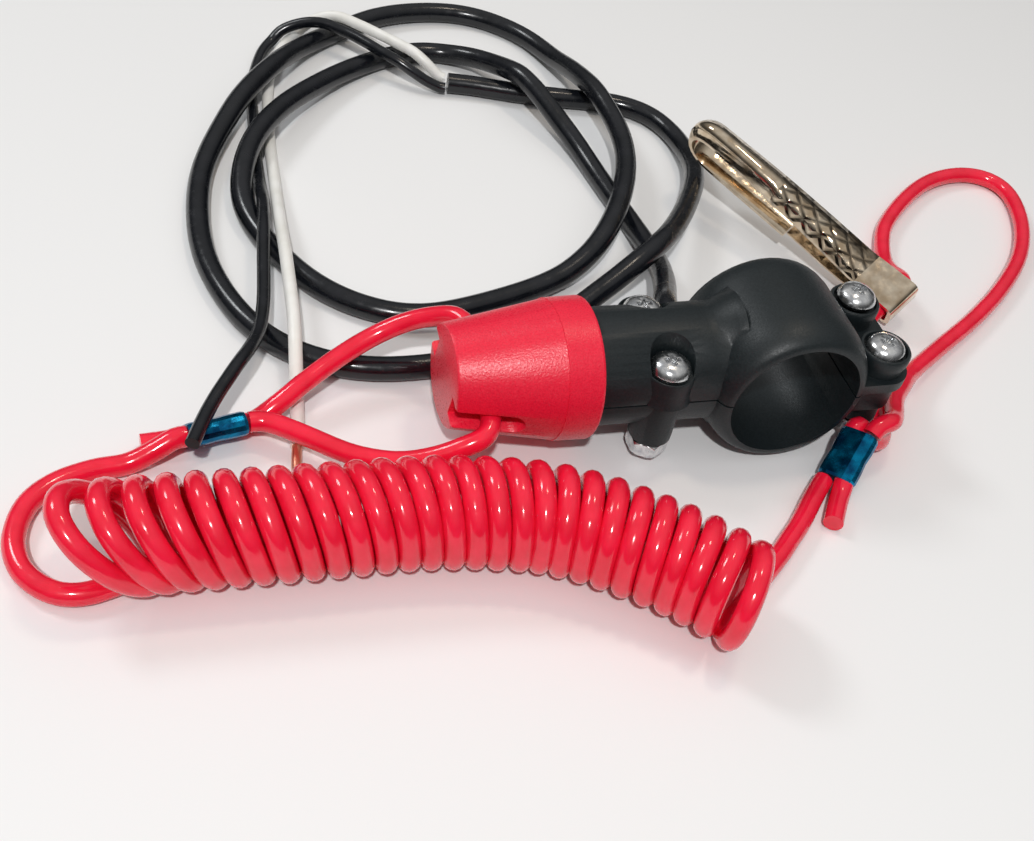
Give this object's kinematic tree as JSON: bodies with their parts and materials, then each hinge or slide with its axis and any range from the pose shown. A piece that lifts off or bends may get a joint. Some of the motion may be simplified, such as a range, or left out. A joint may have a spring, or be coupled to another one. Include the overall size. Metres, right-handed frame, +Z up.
{
  "type": "engine kill switch with lanyard",
  "caption": "Handlebar engine kill switch with a red pull-off cap, curly red lanyard, snap clip and black cable.",
  "frame": {"origin": "under the middle of the switch's length, on the surface that it lies on", "axes": "+X along the barrel from the cap to the clamp screws, +Y along the handlebar, +Z up"},
  "size_m": [0.211, 0.1862, 0.028],
  "materials": {
    "housing_black": "fine matte texture",
    "cap_red": "matte with a fine sparkle",
    "cord_red": "glossy",
    "crimp_blue": "glossy metallic",
    "zinc_plate": "satin zinc plate",
    "contact_brass": "satin",
    "clip_nickel": "bright nickel plate",
    "spring_steel": "satin",
    "plunger_nylon": "matte",
    "sleeve_black": "semi-gloss",
    "wire_black": "semi-gloss",
    "wire_white": "semi-gloss"
  },
  "bodies": {
    "housing": {"housing_upper": "housing_black", "housing_lower": "housing_black", "barrel_screw_front": "zinc_plate", "barrel_screw_rear": "zinc_plate", "clamp_screw_front": "zinc_plate", "clamp_screw_rear": "zinc_plate", "barrel_nut_front": "zinc_plate", "barrel_nut_rear": "zinc_plate", "clamp_nut_front": "zinc_plate", "clamp_nut_rear": "zinc_plate", "plunger_spring": "spring_steel", "contact_front": "contact_brass", "contact_rear": "contact_brass", "lanyard_coil": "cord_red", "clip_run": "cord_red", "clip_stub": "cord_red", "clip_crimp": "crimp_blue", "clip_loop": "cord_red", "clip_hook": "clip_nickel", "gate_pin": "spring_steel", "cable_sleeve": "sleeve_black", "wire_black": "wire_black", "wire_white": "wire_white"},
    "cap": {"cap": "cap_red", "cap_loop": "cord_red", "cap_run": "cord_red", "cap_stub": "cord_red", "cap_crimp": "crimp_blue"},
    "plunger": {"plunger": "plunger_nylon", "contact_ring": "contact_brass"},
    "gate": {"clip_gate": "clip_nickel"}
  },
  "joints": [
    {"name": "cap_pull", "type": "slide", "parent": "housing", "child": "cap", "axis": [-1, 0, 0], "range_m": [0, 0.0105], "deforming": ["lanyard_coil"]},
    {"name": "plunger_slide", "type": "slide", "parent": "housing", "child": "plunger", "axis": [-1, 0, 0], "range_m": [0, 0.0028], "deforming": ["plunger_spring"]},
    {"name": "gate_swing", "type": "hinge", "parent": "housing", "child": "gate", "pos_m": [0.05274, 0.02517, 0.00435], "axis": [0.7888, 0.3855, 0.4788], "range_deg": [0, 12], "stiffness_Nm_per_rad": 0.02}
  ],
  "couplings": [
    {"joint": "plunger_slide", "follows": "cap_pull", "ratio": 0.26667}
  ]
}
